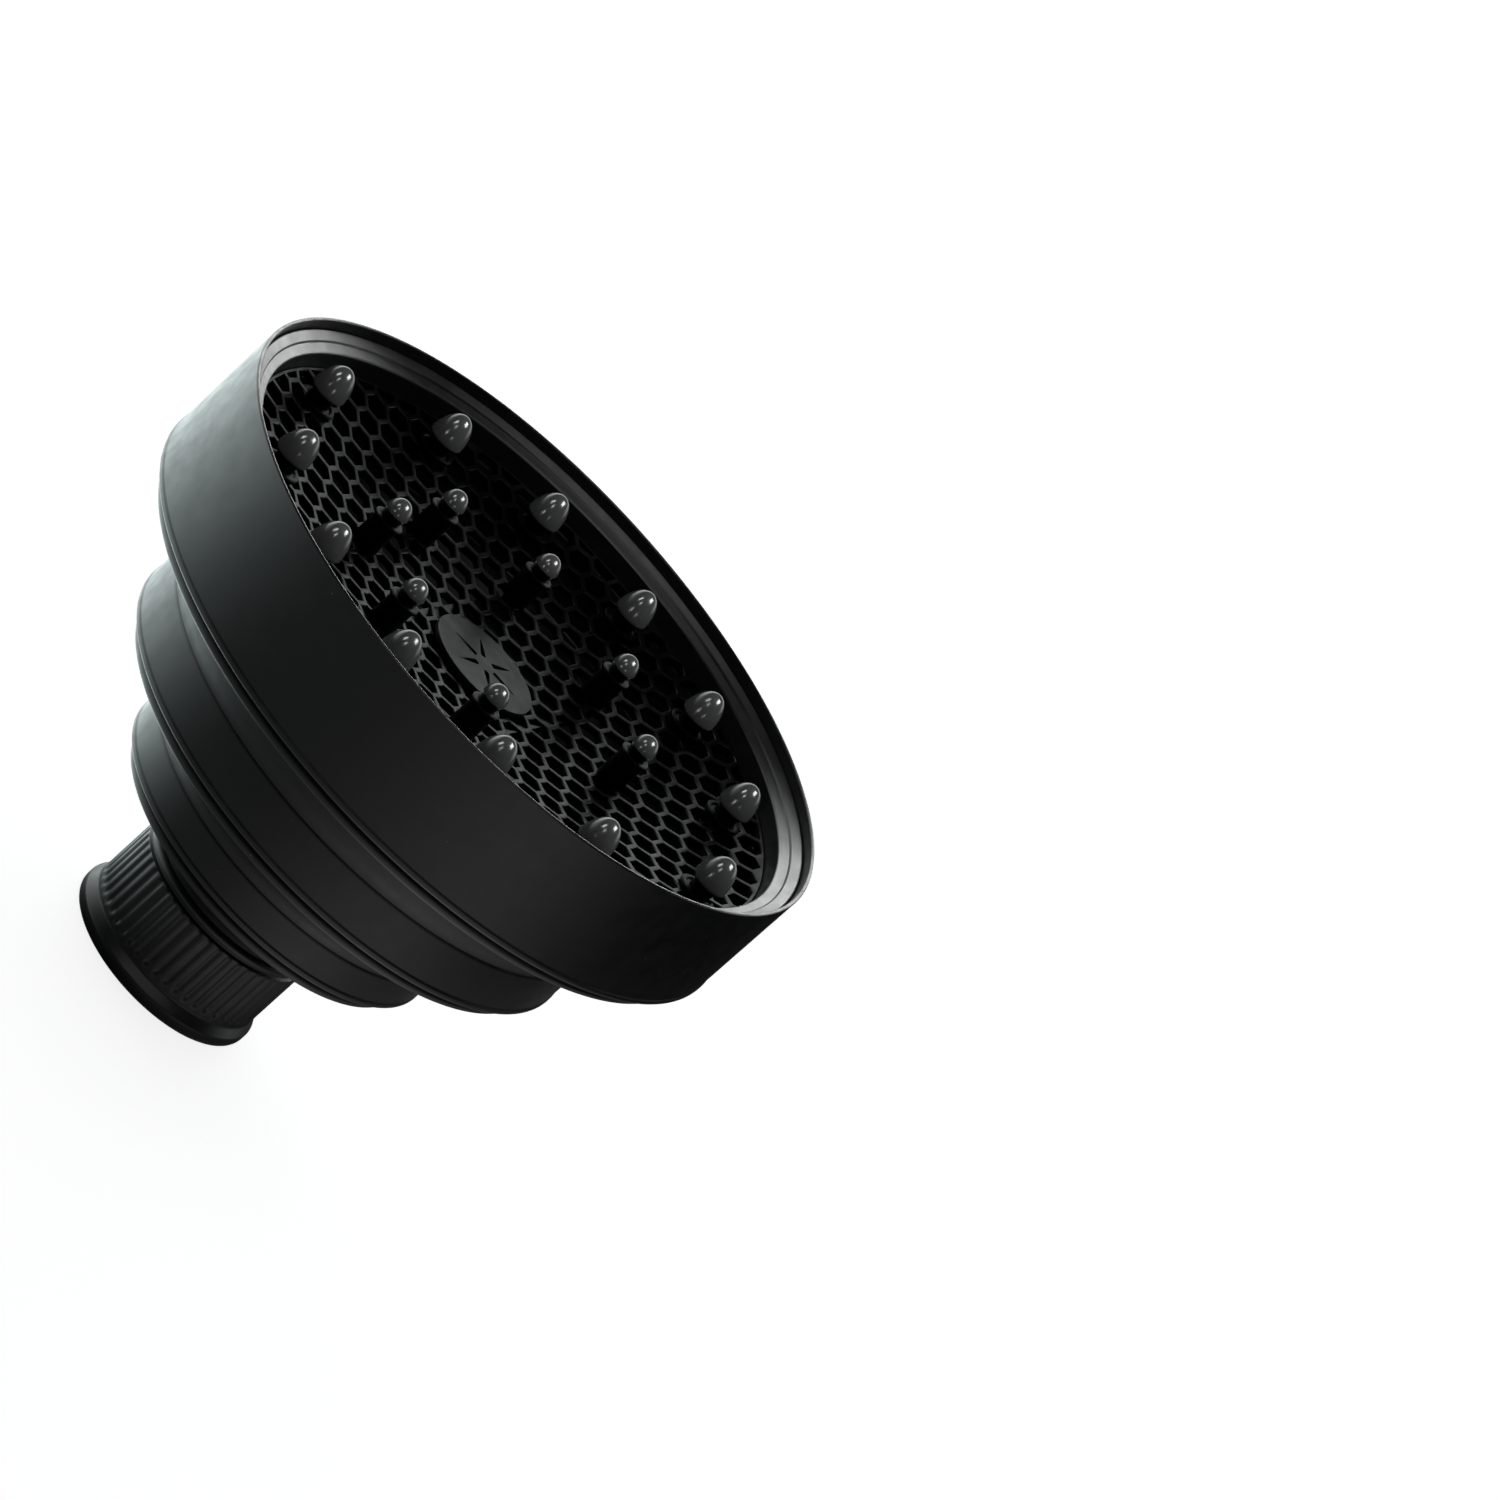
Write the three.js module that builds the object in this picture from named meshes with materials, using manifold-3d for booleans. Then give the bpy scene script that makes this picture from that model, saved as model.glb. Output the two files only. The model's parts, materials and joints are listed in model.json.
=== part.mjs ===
// Collapsible hair dryer diffuser: a soft body of telescoping rings, a dished honeycomb
// grille and two rows of bristle fingers with soft tips.
// Millimetres, +Z up. The mouth that grips the dryer stands on z = 0 and the open rim faces up.
import * as THREE from "three";
import { mergeVertices } from "three/addons/utils/BufferGeometryUtils.js";
import Module from "manifold-3d";

// ---------------------------------------------------------------- driving dimensions
const GAP = 0.3;                 // air between pieces that touch
const RING_SEGMENTS = 40;
const FINGER_SEGMENTS = 8;

const RIM_Z = 117.5;             // rim plane above the mouth
const RIM_R = 80;
const WALL = 2.4;                // soft wall of every ring

// Each ring: outer radius, back edge, top of its wall.
const FRONT = { radius: RIM_R, back: 84, top: RIM_Z };
const MIDDLE = { radius: 61, back: 56, top: 73.5 };
const SMALL = { radius: 42, back: 33.5, top: 47.5 };
const EDGE_DROP = 3.6;           // wall edge above the back bead
const BEAD_OUT = 2.4;            // bead's outside, in from the wall
const BEAD_IN = 7.6;             // bead's inside, in from the wall
const SHOULDER = 2;              // rounding at the top of a ring

const COLLAR_TOP = 24.5;
const COLLAR_R = 22.7;           // crest of the grip ribs
const RIB_DEPTH = 0.6;
const RIB_COUNT = 50;
const RIB_FROM = 6.8;
const RIB_TO = 21.6;
const MOUTH_BEAD_R = 24.1;
const BORE_R = 20.5;
const WEB_WALL = 1.6;

const GRILLE_R = 73.7;
const GRILLE_THICK = 1.8;
const GRILLE_DEPTH = 18.8;       // rim plane down to the middle of the dish
const DISH_RISE = 11.36;         // what the dish would climb out to the rim's radius
const CELL_PITCH = 11;
const CELL_WEB = 1.6;
const CELL_TURN = THREE.MathUtils.degToRad(-16.7);
const BOSS_R = 5;                // flat landing under each finger
const BOSS_RISE = 1.4;           // landing above the dish at the finger's middle
const BOSS_DROP = 1.1;           // and below its underside

const DISC_R = 13.4;
const DISC_THICK = 1;
const DEFLECTOR_REACH = 40;      // baffle bar's half length
const DEFLECTOR_HALF = 16.5;     // and half width
const DEFLECTOR_THICK = 1.2;

const TAU = 2 * Math.PI;
const degrees = THREE.MathUtils.degToRad;

// ---------------------------------------------------------------- colours
const silicone = { color: 0x1d1e1e, roughness: 0.52, metalness: 0 };
const webSilicone = { color: 0x232525, roughness: 0.55, metalness: 0 };
const grillePlastic = { color: 0x2a2b2b, roughness: 0.42, metalness: 0 };
const discPlastic = { color: 0x3a3b3b, roughness: 0.5, metalness: 0 };
const stemPlastic = { color: 0x141414, roughness: 0.4, metalness: 0 };
const tipRubber = { color: 0x2f302f, roughness: 0.28, metalness: 0 };

const diffuser = new THREE.Group();

function place(name, geometry, look, x = 0, y = 0, z = 0) {
  const mesh = new THREE.Mesh(geometry, new THREE.MeshStandardMaterial(look));
  mesh.name = name;
  mesh.position.set(x, y, z);
  diffuser.add(mesh);
}

// A closed profile of [radius, height] points, turned about Z.
// It runs along the base outwards, up the outside and back in over the top.
function turned(profile, segments = RING_SEGMENTS) {
  const points = profile.map(([radius, height]) => new THREE.Vector2(radius, height));
  if (profile[0][0] > 0) points.push(points[0].clone());
  const geometry = new THREE.LatheGeometry(points, segments);
  geometry.rotateX(Math.PI / 2);
  return geometry;
}

// Points on an arc in the profile plane, angles in degrees.
function arc(radius, height, size, from, to, steps = 3) {
  return Array.from({ length: steps + 1 }, (_, step) => {
    const angle = degrees(from + ((to - from) * step) / steps);
    return [radius + size * Math.cos(angle), height + size * Math.sin(angle)];
  });
}

// ---------------------------------------------------------------- soft body
// Back edge that all rings share: a bead, a fine groove, then the rounded foot of the wall.
function backEdge({ radius, back }) {
  const beadSize = 1.5;
  return [
    [radius - BEAD_IN, back + 3],
    ...arc(radius - BEAD_IN + 1, back + 1, 1, 180, 270, 2),
    ...arc(radius - BEAD_OUT - beadSize, back + beadSize, beadSize, 270, 360, 2),
    [radius - 1.9, back + 3.2],
    ...arc(radius - 0.9, back + EDGE_DROP + 0.9, 0.9, 270, 360, 2),
  ];
}

function steppedRing(ring) {
  const inner = ring.radius - WALL;
  return turned([
    ...backEdge(ring),
    ...arc(ring.radius - SHOULDER, ring.top - SHOULDER, SHOULDER, 0, 90, 2),
    [inner, ring.top],
    [inner, ring.back + 5.2],
    [ring.radius - BEAD_IN, ring.back + 3.8],
  ]);
}

function frontRing() {
  const inner = RIM_R - WALL;
  const shelfTop = RIM_Z - 13.3;
  return turned([
    ...backEdge(FRONT),
    ...arc(RIM_R - 0.7, RIM_Z - 0.7, 0.7, 0, 90, 2),
    ...arc(inner + 0.4, RIM_Z - 0.4, 0.4, 90, 180, 2),
    [inner, shelfTop],
    [inner - 2.2, shelfTop],
    [inner - 2.2, shelfTop - 1],
    [inner, shelfTop - 2.6],
    [inner, FRONT.back + 5.2],
    [RIM_R - BEAD_IN, FRONT.back + 3.8],
  ]);
}

// Thin cone that folds between two rings. It hangs inside the upper ring's bead
// and ends on the shoulder of the ring below.
function foldingWeb(upper, lowerRadius, lowerTop) {
  const bottomR = lowerRadius - SHOULDER;
  const bottomZ = lowerTop + GAP;
  const topR = upper.radius - BEAD_IN - GAP;
  const topZ = upper.back + 2.8;
  return turned([
    [bottomR - WEB_WALL, bottomZ],
    [bottomR, bottomZ],
    [topR, topZ - 1.4],
    [topR, topZ],
    [topR - 0.6, topZ],
  ]);
}

const wasm = await Module();
wasm.setup();

function toSolid(geometry) {
  const bare = geometry.clone();
  bare.deleteAttribute("normal");
  bare.deleteAttribute("uv");
  const merged = mergeVertices(bare, 1e-4);
  const mesh = new wasm.Mesh({
    numProp: 3,
    vertProperties: new Float32Array(merged.attributes.position.array),
    triVerts: new Uint32Array(merged.index.array),
  });
  return new wasm.Manifold(mesh);
}

function toGeometry(solid) {
  const { vertProperties, triVerts } = solid.getMesh();
  const geometry = new THREE.BufferGeometry();
  geometry.setAttribute("position", new THREE.BufferAttribute(vertProperties, 3));
  geometry.setIndex(new THREE.BufferAttribute(triVerts, 1));
  geometry.computeVertexNormals();
  return geometry;
}

// Ring of grip ribs, three corners to a rib.
function ribbedSleeve() {
  const pitch = TAU / RIB_COUNT;
  const outline = [];
  for (let rib = 0; rib < RIB_COUNT; rib += 1) {
    const corners = [[-0.28, COLLAR_R], [0.28, COLLAR_R], [0.5, COLLAR_R - RIB_DEPTH]];
    for (const [share, radius] of corners) {
      const angle = (rib + share) * pitch;
      outline.push(new THREE.Vector2(radius * Math.cos(angle), radius * Math.sin(angle)));
    }
  }
  const shape = new THREE.Shape(outline);
  shape.holes.push(new THREE.Path().absarc(0, 0, BORE_R + 0.8, 0, TAU, true));
  const depth = RIB_TO - RIB_FROM;
  const sleeve = new THREE.ExtrudeGeometry(shape, { depth, bevelEnabled: false, curveSegments: 24 });
  return sleeve.translate(0, 0, RIB_FROM);
}

function collar() {
  const neck = COLLAR_R - 1.3;
  const beadSize = 1.9;
  const tube = turned([
    [BORE_R, 0],
    [MOUTH_BEAD_R - beadSize, 0],
    ...arc(MOUTH_BEAD_R - beadSize, beadSize, beadSize, 270, 450, 4),
    [neck, 2 * beadSize + 0.4],
    [neck, RIB_TO + 0.5],
    ...arc(COLLAR_R - 1, COLLAR_TOP - 1, 1, 0, 90, 2),
    [BORE_R, COLLAR_TOP],
  ]);
  return toGeometry(toSolid(tube).add(toSolid(ribbedSleeve())));
}

place("collar", collar(), silicone);
place("small_ring", steppedRing(SMALL), silicone);
place("middle_ring", steppedRing(MIDDLE), silicone);
place("front_ring", frontRing(), silicone);
place("lower_web", foldingWeb(SMALL, COLLAR_R + 1, COLLAR_TOP), webSilicone);
place("middle_web", foldingWeb(MIDDLE, SMALL.radius, SMALL.top), webSilicone);
place("upper_web", foldingWeb(FRONT, MIDDLE.radius, MIDDLE.top), webSilicone);

// ---------------------------------------------------------------- fingers
// Two end fingers face each other, with five between them on either side.
const OUTER = { tipZ: RIM_Z - 0.6, tipRadius: 4.25, tipHeight: 7.2, flange: 4.7, flangeTop: 2.5 };
const INNER = { tipZ: RIM_Z - 3, tipRadius: 3.4, tipHeight: 3.7, flange: 4.1, flangeTop: 6.8 };
const PEG_R = 2;
const FOOT_R = 3.1;
const STEM_R = 2.8;
const CAP_SHARE = 0.42; // solid share of a tip's height, above its socket
const ROW_AXIS = degrees(-12.6); // line through the two end fingers

function outerPlaces() {
  const places = [];
  for (const side of [0, Math.PI]) {
    places.push([65.9, ROW_AXIS + side]);
    for (let step = -2; step <= 2; step += 1) {
      const angle = ROW_AXIS + side + Math.PI / 2 + degrees(26.6 * step);
      places.push([61.1 + 0.6 * step * step, angle]);
    }
  }
  return places.map(([radius, angle]) => [radius * Math.cos(angle), radius * Math.sin(angle)]);
}

// Seven of eight stations on a slightly oval line.
function innerPlaces() {
  return Array.from({ length: 7 }, (_, station) => {
    const angle = degrees(10.2 + 45 * station);
    return [35.9 * Math.cos(angle), 37.8 * Math.sin(angle)];
  });
}

const outerAt = outerPlaces();
const innerAt = innerPlaces();

function dishZ(x, y) {
  return RIM_Z - GRILLE_DEPTH + DISH_RISE * ((x * x + y * y) / (RIM_R * RIM_R));
}

// A peg through the grille with a foot under it and a stem for the tip above.
function finger(kind, height) {
  const tipFrom = height - kind.tipHeight;
  const spigot = kind.tipRadius - 2.2;
  const landing = BOSS_RISE + GAP;
  const footTop = -GRILLE_THICK - BOSS_DROP - GAP;
  return turned([
    [0, footTop - 0.6],
    [FOOT_R, footTop - 0.6],
    [FOOT_R, footTop],
    [PEG_R, footTop],
    [PEG_R, landing],
    [kind.flange, landing],
    [kind.flange, kind.flangeTop],
    [STEM_R, kind.flangeTop + 0.4],
    [STEM_R, tipFrom - GAP],
    [spigot, tipFrom - GAP],
    [spigot, height - CAP_SHARE * kind.tipHeight],
    [0, height - CAP_SHARE * kind.tipHeight],
  ], FINGER_SEGMENTS);
}

// Hollow bullet that pushes over the stem's spigot.
function tip(kind) {
  const socket = kind.tipRadius - 2.2 + GAP;
  const socketTop = (1 - CAP_SHARE) * kind.tipHeight + GAP;
  const crown = [0.1, 0.35, 0.65, 0.88].map((share) => (
    [kind.tipRadius * (1 - share ** 1.5) ** 0.48, kind.tipHeight * share]
  ));
  return turned([
    [0, socketTop],
    [socket, socketTop],
    [socket, 0],
    [kind.tipRadius, 0],
    ...crown,
    [0, kind.tipHeight],
  ], FINGER_SEGMENTS);
}

function fingerRow(row, kind, places) {
  places.forEach(([x, y], index) => {
    const number = String(index + 1).padStart(2, "0");
    const base = dishZ(x, y);
    place(`${row}_finger_${number}`, finger(kind, kind.tipZ - base), stemPlastic, x, y, base);
    place(`${row}_tip_${number}`, tip(kind), tipRubber, x, y, kind.tipZ - kind.tipHeight);
  });
}

fingerRow("outer", OUTER, outerAt);
fingerRow("inner", INNER, innerAt);

// ---------------------------------------------------------------- grille
const cellSize = (CELL_PITCH - CELL_WEB) / Math.sqrt(3);

// Cell centres that keep clear of the rim, the middle and the finger bosses.
function cellPlaces() {
  const reach = Math.ceil(GRILLE_R / CELL_PITCH) + 1;
  const places = [];
  for (let a = -reach; a <= reach; a += 1) {
    for (let b = -reach; b <= reach; b += 1) {
      const along = (a + b / 2) * CELL_PITCH;
      const across = b * CELL_PITCH * Math.sin(Math.PI / 3);
      const x = along * Math.cos(CELL_TURN) - across * Math.sin(CELL_TURN);
      const y = along * Math.sin(CELL_TURN) + across * Math.cos(CELL_TURN);
      const radius = Math.hypot(x, y);
      if (radius < GRILLE_R - cellSize - 1.2 && radius > 7) places.push([x, y]);
    }
  }
  return places;
}

// An upright prism of a few sides, long enough to cut the whole dish.
function prism(x, y, size, sides, from, to) {
  const height = to - from;
  const geometry = new THREE.CylinderGeometry(size, size, height, sides, 1);
  geometry.rotateX(Math.PI / 2);
  geometry.rotateZ(CELL_TURN);
  return toSolid(geometry.translate(x, y, from + height / 2));
}

// The dish, less its cells, with a boss and a peg hole for each finger.
function honeycomb() {
  const radii = [0, 0.22, 0.6, 1].map((share) => share * GRILLE_R);
  const top = radii.map((radius) => [radius, dishZ(radius, 0)]);
  const under = top.map(([radius, height]) => [radius, height - GRILLE_THICK]);
  const dish = toSolid(turned([...under, ...top.reverse()], 24));
  const floor = RIM_Z - 2 * GRILLE_DEPTH;
  const cells = cellPlaces().map(([x, y]) => prism(x, y, cellSize, 6, floor, RIM_Z));
  const fingers = [...outerAt, ...innerAt];
  const bosses = fingers.map(([x, y]) => {
    const base = dishZ(x, y);
    return prism(x, y, BOSS_R, 8, base - GRILLE_THICK - BOSS_DROP, base + BOSS_RISE);
  });
  const pegHoles = fingers.map(([x, y]) => prism(x, y, PEG_R + GAP, 8, floor, RIM_Z));
  const open = wasm.Manifold.difference([dish, ...cells]);
  const landed = wasm.Manifold.union([open, ...bosses]);
  return toGeometry(wasm.Manifold.difference([landed, ...pegHoles]));
}

// Ring that holds the grille's edge and stands on the front ring's shelf.
function bezel() {
  const outer = RIM_R - WALL - GAP;
  const inner = GRILLE_R + GAP;
  const bottom = RIM_Z - 13;
  const ledgeTop = bottom + 1.5;
  return turned([
    [inner - 1, bottom],
    [outer, bottom],
    ...arc(outer - 1, RIM_Z - 3.6, 1, 0, 90, 2),
    ...arc(inner + 1.2, RIM_Z - 4, 1.2, 100, 180, 2),
    [inner, ledgeTop],
    [inner - 1, ledgeTop],
  ]);
}

// Six slots fan out from the middle and narrow to a point.
function centreDisc() {
  const disc = new THREE.Shape().absarc(0, 0, DISC_R, 0, TAU, false);
  for (let slot = 0; slot < 6; slot += 1) {
    const turn = (slot * Math.PI) / 3;
    const corners = [[2.6, -0.7], [5.5, -0.6], [8.9, 0], [5.5, 0.6], [2.6, 0.7]];
    disc.holes.push(new THREE.Path(corners.map(([along, across]) => new THREE.Vector2(
      along * Math.cos(turn) - across * Math.sin(turn),
      along * Math.sin(turn) + across * Math.cos(turn)))));
  }
  return new THREE.ExtrudeGeometry(disc, { depth: DISC_THICK, bevelEnabled: false, curveSegments: 18 });
}

// Baffle that follows the dish just under the grille: a bar with round ends, notched for the
// bosses of the inner fingers.
function deflector() {
  const top = -GRILLE_THICK - GAP;
  const radii = [0, 0.5, 1].map((share) => share * DEFLECTOR_REACH);
  const upper = radii.map((radius) => [radius, dishZ(radius, 0) + top]);
  const lower = upper.map(([radius, height]) => [radius, height - DEFLECTOR_THICK]);
  const shell = toSolid(turned([...lower, ...upper.reverse()], 24));
  const bar = new THREE.Shape();
  const straight = DEFLECTOR_REACH - DEFLECTOR_HALF;
  bar.absarc(straight, 0, DEFLECTOR_HALF, -Math.PI / 2, Math.PI / 2, false);
  bar.absarc(-straight, 0, DEFLECTOR_HALF, Math.PI / 2, (3 * Math.PI) / 2, false);
  const depth = 2 * GRILLE_DEPTH;
  const block = new THREE.ExtrudeGeometry(bar, { depth, bevelEnabled: false, curveSegments: 6 });
  block.rotateZ(ROW_AXIS + Math.PI / 2).translate(0, 0, RIM_Z - depth);
  const notches = innerAt.map(([x, y]) => prism(x, y, BOSS_R + 2 * GAP, 8, 0, RIM_Z));
  return toGeometry(wasm.Manifold.difference([shell.intersect(toSolid(block)), ...notches]));
}

place("grille_bezel", bezel(), silicone);
place("honeycomb_grille", honeycomb(), grillePlastic);
place("centre_disc", centreDisc(), discPlastic, 0, 0, dishZ(DISC_R, 0) + GAP);
place("deflector", deflector(), discPlastic);

export default diffuser;
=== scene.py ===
import json
import math

import bmesh
import bpy
import numpy as np
from mathutils import Matrix, Vector
from mathutils.geometry import delaunay_2d_cdt

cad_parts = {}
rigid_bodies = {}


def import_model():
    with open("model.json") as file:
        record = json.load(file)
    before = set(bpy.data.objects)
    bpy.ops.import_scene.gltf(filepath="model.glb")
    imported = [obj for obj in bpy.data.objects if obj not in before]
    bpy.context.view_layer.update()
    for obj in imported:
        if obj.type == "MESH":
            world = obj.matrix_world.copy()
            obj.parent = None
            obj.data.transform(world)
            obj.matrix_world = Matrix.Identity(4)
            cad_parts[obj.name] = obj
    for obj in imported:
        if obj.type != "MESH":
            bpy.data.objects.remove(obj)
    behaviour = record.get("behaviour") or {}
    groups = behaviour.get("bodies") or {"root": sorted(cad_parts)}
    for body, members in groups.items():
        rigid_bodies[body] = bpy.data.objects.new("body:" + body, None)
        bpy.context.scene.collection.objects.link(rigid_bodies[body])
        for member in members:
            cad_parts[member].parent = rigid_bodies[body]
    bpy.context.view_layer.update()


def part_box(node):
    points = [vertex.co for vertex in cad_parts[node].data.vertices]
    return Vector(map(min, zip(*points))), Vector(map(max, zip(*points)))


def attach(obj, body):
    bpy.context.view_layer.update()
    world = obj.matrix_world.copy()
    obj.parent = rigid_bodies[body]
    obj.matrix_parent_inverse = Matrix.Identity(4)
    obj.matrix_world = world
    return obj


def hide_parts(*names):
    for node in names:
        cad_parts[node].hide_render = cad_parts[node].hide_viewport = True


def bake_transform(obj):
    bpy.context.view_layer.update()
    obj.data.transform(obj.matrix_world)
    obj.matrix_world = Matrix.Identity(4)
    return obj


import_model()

MM = 0.001


# ---------------------------------------------------------------- sizes read from the frame
def node_box(node):
    """Lowest and highest corner of a CAD node, in millimetres."""
    low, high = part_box(node)
    return low / MM, high / MM


def ring_sizes(node):
    """Outer radius, back edge and top of a ring."""
    low, high = node_box(node)
    return high.x, low.z, high.z


FRONT_R, FRONT_BACK, RIM_Z = ring_sizes("front_ring")
MIDDLE_R, MIDDLE_BACK, MIDDLE_TOP = ring_sizes("middle_ring")
SMALL_R, SMALL_BACK, SMALL_TOP = ring_sizes("small_ring")
MOUTH_R, _, COLLAR_TOP = ring_sizes("collar")
DISC_R, DISC_UNDER, DISC_TOP = ring_sizes("centre_disc")

WALL = 2.4                      # soft wall of every ring
BEAD_OUT, BEAD_IN = 2.4, 7.6    # back bead, in from the wall
GRILLE_R = node_box("honeycomb_grille")[1].x
BEZEL_R = node_box("grille_bezel")[1].x
DISH_RISE = 11.36               # climb of the dish out to the rim's radius
DISC_GAP = 0.3                  # disc's underside above the grille
DISH_Z = DISC_UNDER - DISC_GAP - DISH_RISE * (DISC_R / FRONT_R) ** 2


def dish(x, y):
    """Height of the grille's top face."""
    return DISH_Z + DISH_RISE * (x * x + y * y) / FRONT_R ** 2


# ---------------------------------------------------------------- mesh helpers
def piece(name, verts, faces, material, body, nodes, sharp=38.0):
    """Makes a shaded mesh object from points in millimetres; ties it to a body of the frame when
    the body is given by name, and otherwise leaves it fixed where it was built.
    """
    mesh = bpy.data.meshes.new(name)
    mesh.from_pydata([Vector(v) * MM for v in verts], [], faces)
    tidy = bmesh.new()
    tidy.from_mesh(mesh)
    bmesh.ops.remove_doubles(tidy, verts=tidy.verts, dist=1e-7)
    bmesh.ops.recalc_face_normals(tidy, faces=tidy.faces)
    tidy.to_mesh(mesh)
    tidy.free()
    mesh.shade_smooth()
    mesh.set_sharp_from_angle(angle=math.radians(sharp))
    made = bpy.data.objects.new(name, mesh)
    bpy.context.scene.collection.objects.link(made)
    made.data.materials.append(material)
    if isinstance(body, str):
        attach(made, body)
    else:
        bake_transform(made)
    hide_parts(*nodes)
    return made


def flatten_walls(made):
    """Keeps long flat faces flat beside their rounded edges."""
    made.modifiers.new("flat walls", "WEIGHTED_NORMAL").keep_sharp = True


def rounded(corners, steps=6):
    """Outline from (radius, height, rounding) corners, each rounding turned into an arc."""
    outline = []
    for index, (radius, height, size) in enumerate(corners):
        here = Vector((radius, height))
        if size == 0:
            outline.append(here)
            continue
        before = (Vector(corners[index - 1][:2]) - here).normalized()
        after = (Vector(corners[(index + 1) % len(corners)][:2]) - here).normalized()
        half = before.angle(after) / 2
        centre = here + (before + after).normalized() * (size / math.sin(half))
        first = (here + before * (size / math.tan(half)) - centre).normalized()
        last = (here + after * (size / math.tan(half)) - centre).normalized()
        outline += [centre + first.slerp(last, step / steps) * size for step in range(steps + 1)]
    return outline


def turned(outline, segments, centre=(0, 0), closed=True, radius_at=None):
    """Points and faces of an outline turned about an upright axis."""
    verts, faces = [], []
    for turn in range(segments):
        angle = math.tau * turn / segments
        for radius, height in outline:
            reach = radius_at(radius, height, angle) if radius_at else radius
            verts.append((centre[0] + reach * math.cos(angle),
                          centre[1] + reach * math.sin(angle), height))
    count = len(outline)
    for turn in range(segments):
        here, there = turn * count, (turn + 1) % segments * count
        for row in range(count if closed else count - 1):
            after = (row + 1) % count
            corners = [here + row, here + after, there + after, there + row]
            if outline[row][0] == 0:
                corners.pop()
            elif outline[after][0] == 0:
                corners.pop(2)
            faces.append(corners)
    return verts, faces


# ---------------------------------------------------------------- materials
def nodes_of(name):
    """A new material with its node tree, links and principled shader."""
    material = bpy.data.materials.new(name)
    material.use_nodes = True
    tree = material.node_tree
    return material, tree, tree.nodes["Principled BSDF"]


def noise(tree, scale, detail=3.0, roughness=0.55):
    """Noise that sits still on the piece, scale in waves per metre."""
    place = tree.nodes.new("ShaderNodeTexCoord")
    made = tree.nodes.new("ShaderNodeTexNoise")
    made.inputs["Scale"].default_value = scale
    made.inputs["Detail"].default_value = detail
    made.inputs["Roughness"].default_value = roughness
    tree.links.new(place.outputs["Object"], made.inputs["Vector"])
    return made


def spread(tree, source, low, high, to_low, to_high):
    """Maps a value's range to another, clamped."""
    made = tree.nodes.new("ShaderNodeMapRange")
    for socket, value in zip(("From Min", "From Max", "To Min", "To Max"),
                             (low, high, to_low, to_high)):
        made.inputs[socket].default_value = value
    tree.links.new(source, made.inputs["Value"])
    return made.outputs["Result"]


def bump(tree, shader, source, strength, distance, under=None):
    """Raises the surface by source, on top of an earlier bump."""
    made = tree.nodes.new("ShaderNodeBump")
    made.inputs["Strength"].default_value = strength
    made.inputs["Distance"].default_value = distance
    tree.links.new(source, made.inputs["Height"])
    if under:
        tree.links.new(under.outputs["Normal"], made.inputs["Normal"])
    tree.links.new(made.outputs["Normal"], shader.inputs["Normal"])
    return made


def two_tone(tree, shader, source, dark, light):
    """Base colour that wanders between two tones."""
    mix = tree.nodes.new("ShaderNodeMix")
    mix.data_type = "RGBA"
    mix.inputs["A"].default_value = (*dark, 1)
    mix.inputs["B"].default_value = (*light, 1)
    tree.links.new(source, mix.inputs["Factor"])
    tree.links.new(mix.outputs["Result"], shader.inputs["Base Color"])


def moulded(name, dark, light, roughness, ior, grain, wander=0.05, grit=0.30):
    """Moulded material: fine grain, slow waviness and slightly uneven polish."""
    material, tree, shader = nodes_of(name)
    shader.inputs["IOR"].default_value = ior
    blotch = noise(tree, 45.0).outputs["Fac"]
    two_tone(tree, shader, blotch, dark, light)
    polish = spread(tree, noise(tree, 240.0).outputs["Fac"], 0.3, 0.7,
                    roughness - wander, roughness + wander)
    tree.links.new(polish, shader.inputs["Roughness"])
    swell = bump(tree, shader, noise(tree, 70.0, 2.0).outputs["Fac"], 0.35, 0.00025)
    bump(tree, shader, noise(tree, grain, 2.0).outputs["Fac"], grit, 0.00004, swell)
    return material


def dusted(material, amount=0.85):
    """Adds sparse pale dust specks, as silicone picks up."""
    tree = material.node_tree
    shader = tree.nodes["Principled BSDF"]
    place = tree.nodes.new("ShaderNodeTexCoord")
    cells = tree.nodes.new("ShaderNodeTexVoronoi")
    cells.inputs["Scale"].default_value = 420.0
    tree.links.new(place.outputs["Object"], cells.inputs["Vector"])
    speck = spread(tree, cells.outputs["Distance"], 0.045, 0.075, 1.0, 0.0)
    rare = spread(tree, noise(tree, 160.0, 1.0).outputs["Fac"], 0.63, 0.66, 0.0, amount)
    both = tree.nodes.new("ShaderNodeMath")
    both.operation = "MULTIPLY"
    tree.links.new(speck, both.inputs[0])
    tree.links.new(rare, both.inputs[1])
    mix = tree.nodes.new("ShaderNodeMix")
    mix.data_type = "RGBA"
    base = shader.inputs["Base Color"].links[0].from_socket
    tree.links.new(base, mix.inputs["A"])
    mix.inputs["B"].default_value = (0.16, 0.16, 0.155, 1)
    tree.links.new(both.outputs["Value"], mix.inputs["Factor"])
    tree.links.new(mix.outputs["Result"], shader.inputs["Base Color"])
    return material


silicone = dusted(moulded("satin silicone", (0.0030, 0.0032, 0.0032), (0.0045, 0.0049, 0.0048),
                          0.37, 1.41, 5200.0, grit=0.14))
web_silicone = moulded("thin web silicone", (0.0030, 0.0032, 0.0032), (0.0042, 0.0046, 0.0045),
                       0.42, 1.41, 5200.0, grit=0.14)
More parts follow.
